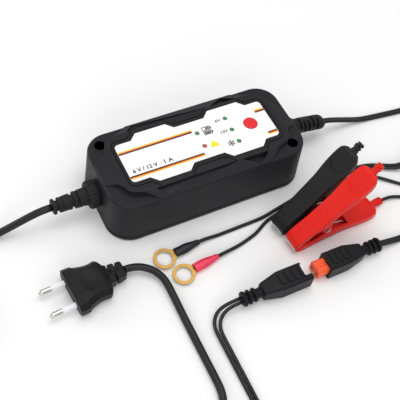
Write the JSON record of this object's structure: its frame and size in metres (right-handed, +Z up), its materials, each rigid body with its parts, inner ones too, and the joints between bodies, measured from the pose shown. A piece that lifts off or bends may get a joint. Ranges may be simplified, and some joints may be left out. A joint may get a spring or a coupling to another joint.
{
  "type": "car battery charger",
  "caption": "Compact car battery charger with a mains lead, an output lead, a plug-on lead with two clamps and a plug-on lead with ring terminals.",
  "frame": {"origin": "centre of the housing's underside, on the surface it lies on", "axes": "+X along the housing towards the output lead, +Y towards the back, away from the clamps, +Z up"},
  "size_m": [0.5519, 0.2637, 0.0658],
  "materials": {
    "shell": "fine-grained moulded ABS",
    "base": "fine-grained moulded ABS",
    "label": "printed film, satin",
    "button": "smooth",
    "green_window": "clear tinted",
    "red_window": "clear tinted",
    "black_rubber": "moulded",
    "plug_plastic": "moulded, satin",
    "pin_metal": "nickel plated, bright",
    "pin_sleeve": "smooth",
    "cord": "PVC jacket, satin",
    "connector": "moulded",
    "orange": "smooth",
    "brass": "plated, bright",
    "clamp_red": "smooth moulded",
    "clamp_black": "smooth moulded",
    "steel": "zinc plated",
    "copper": "copper plated, dull",
    "crimson": "soft vinyl",
    "pcb": "solder resist",
    "ferrite": "dark",
    "aluminium": "extruded",
    "capacitor": "sleeve"
  },
  "bodies": {
    "charger": {"housing_shell": "shell", "base_plate": "base", "label_overlay": "label", "led_charge": "green_window", "led_6v": "green_window", "led_12v": "green_window", "led_winter": "green_window", "led_fault": "red_window", "base_screw_left": "steel", "base_screw_right": "steel", "circuit_board": "pcb", "transformer": "ferrite", "mains_capacitor": "capacitor", "heat_sink": "aluminium", "mode_switch": "connector", "gland_nut": "black_rubber", "mains_bend_relief": "black_rubber", "dc_bend_relief": "black_rubber", "mains_cord_near": "cord", "mains_cord_coil": "cord", "mains_cord_far": "cord", "plug_body": "plug_plastic", "plug_pin_left": "pin_metal", "plug_pin_right": "pin_metal", "pin_sleeve_left": "pin_sleeve", "pin_sleeve_right": "pin_sleeve", "dc_cord_near": "cord", "dc_cord_coil": "cord", "dc_cord_far": "cord", "clamp_connector_shell": "connector", "clamp_contact_left": "brass", "clamp_contact_right": "brass", "dc_connector_shell": "connector", "dc_connector_insert": "orange", "dc_contact_left": "brass", "dc_contact_right": "brass", "clamp_wire_black": "cord", "clamp_wire_red": "cord", "black_ring_terminal": "brass", "red_ring_terminal": "brass", "black_ring_sleeve": "clamp_black", "red_ring_sleeve": "crimson", "ring_wire_black": "cord", "ring_wire_red": "cord", "ring_connector_shell": "connector", "ring_contact_left": "brass", "ring_contact_right": "brass", "red_clamp_lower_arm": "clamp_red", "red_clamp_lower_jaw": "copper", "red_clamp_pin": "steel", "red_clamp_spring": "steel", "black_clamp_lower_arm": "clamp_black", "black_clamp_lower_jaw": "copper", "black_clamp_pin": "steel", "black_clamp_spring": "steel"},
    "mode_button": {"mode_button": "button"},
    "red_clamp_upper": {"red_clamp_upper_arm": "clamp_red", "red_clamp_upper_jaw": "copper"},
    "black_clamp_upper": {"black_clamp_upper_arm": "clamp_black", "black_clamp_upper_jaw": "copper"}
  },
  "joints": [
    {"name": "mode_button_press", "type": "slide", "parent": "charger", "child": "mode_button", "axis": [0, 0, -1], "range_m": [0, 0.0004], "stiffness_N_per_m": 500, "springref_m": -0.0001},
    {"name": "red_clamp_hinge", "type": "hinge", "parent": "charger", "child": "red_clamp_upper", "pos_m": [0.06368, -0.08371, 0.0153], "axis": [-0.0872, 0.9962, 0], "range_deg": [0, 46], "stiffness_Nm_per_rad": 0.4, "springref_deg": -22.92, "deforming": ["red_clamp_spring"]},
    {"name": "black_clamp_hinge", "type": "hinge", "parent": "charger", "child": "black_clamp_upper", "pos_m": [0.06072, -0.06526, 0.0153], "axis": [-0.165, 0.9863, 0], "range_deg": [0, 46], "stiffness_Nm_per_rad": 0.4, "springref_deg": -22.92, "deforming": ["black_clamp_spring"]}
  ]
}
